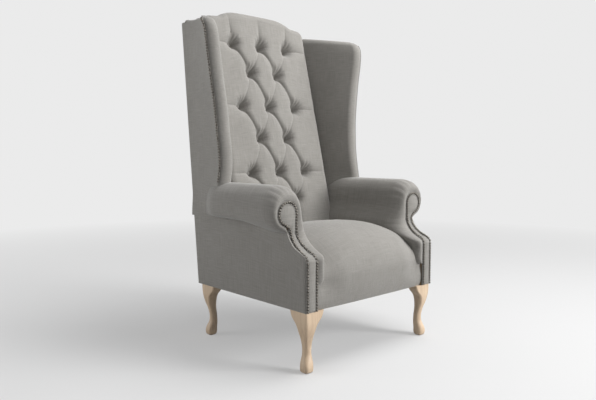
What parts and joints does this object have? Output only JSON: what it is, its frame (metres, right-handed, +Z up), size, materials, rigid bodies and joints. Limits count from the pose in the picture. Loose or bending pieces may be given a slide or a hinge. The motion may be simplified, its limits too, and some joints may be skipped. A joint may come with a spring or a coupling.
{
  "type": "wingback armchair",
  "caption": "High wing chair with a diamond-buttoned back, scroll arms, a domed sprung seat and cabriole legs.",
  "frame": {"origin": "on the floor under the middle of the chair's box: x on the plane between the two arms, y halfway between the foremost and rearmost points", "axes": "+X towards the right-hand arm as seen from the front, +Y from the front to the back, +Z up"},
  "size_m": [0.806, 0.7306, 1.2886],
  "materials": {
    "grey_upholstery": "fine plain weave, matt, mid grey",
    "limed_oak": "limed oak, satin",
    "beech_frame": "sawn beech, bare",
    "jute_webbing": "woven jute straps",
    "lining_cloth": "thin black cloth",
    "bolt_steel": "plain zinc-plated steel"
  },
  "bodies": {
    "root": {"arm_facing_left": "grey_upholstery", "arm_facing_right": "grey_upholstery", "arm_pad_left": "grey_upholstery", "arm_pad_right": "grey_upholstery", "arm_rail_left": "beech_frame", "arm_rail_right": "beech_frame", "arm_stump_left": "beech_frame", "arm_stump_right": "beech_frame", "arm_tack_rail_left": "beech_frame", "arm_tack_rail_right": "beech_frame", "back_buttons": "grey_upholstery", "back_post_left": "beech_frame", "back_post_right": "beech_frame", "back_rail_low": "beech_frame", "back_rail_middle": "beech_frame", "back_rail_top": "beech_frame", "back_webbing": "jute_webbing", "corner_block_back_left": "beech_frame", "corner_block_back_right": "beech_frame", "corner_block_front_left": "beech_frame", "corner_block_front_right": "beech_frame", "crest_rail": "beech_frame", "crest_roll": "grey_upholstery", "dust_cover": "lining_cloth", "leg_back_left": "limed_oak", "leg_back_right": "limed_oak", "leg_bolts": "bolt_steel", "leg_front_left": "limed_oak", "leg_front_right": "limed_oak", "outside_arm_left": "grey_upholstery", "outside_arm_right": "grey_upholstery", "outside_back": "grey_upholstery", "outside_wing_left": "grey_upholstery", "outside_wing_right": "grey_upholstery", "platform_cloth": "lining_cloth", "seat_cushion": "grey_upholstery", "seat_rail_back": "beech_frame", "seat_rail_front": "beech_frame", "seat_rail_left": "beech_frame", "seat_rail_right": "beech_frame", "seat_webbing": "jute_webbing", "tufted_back": "grey_upholstery", "wing_pad_left": "grey_upholstery", "wing_pad_right": "grey_upholstery", "wing_rail_left": "beech_frame", "wing_rail_right": "beech_frame", "wing_upright_left": "beech_frame", "wing_upright_right": "beech_frame"}
  },
  "joints": []
}
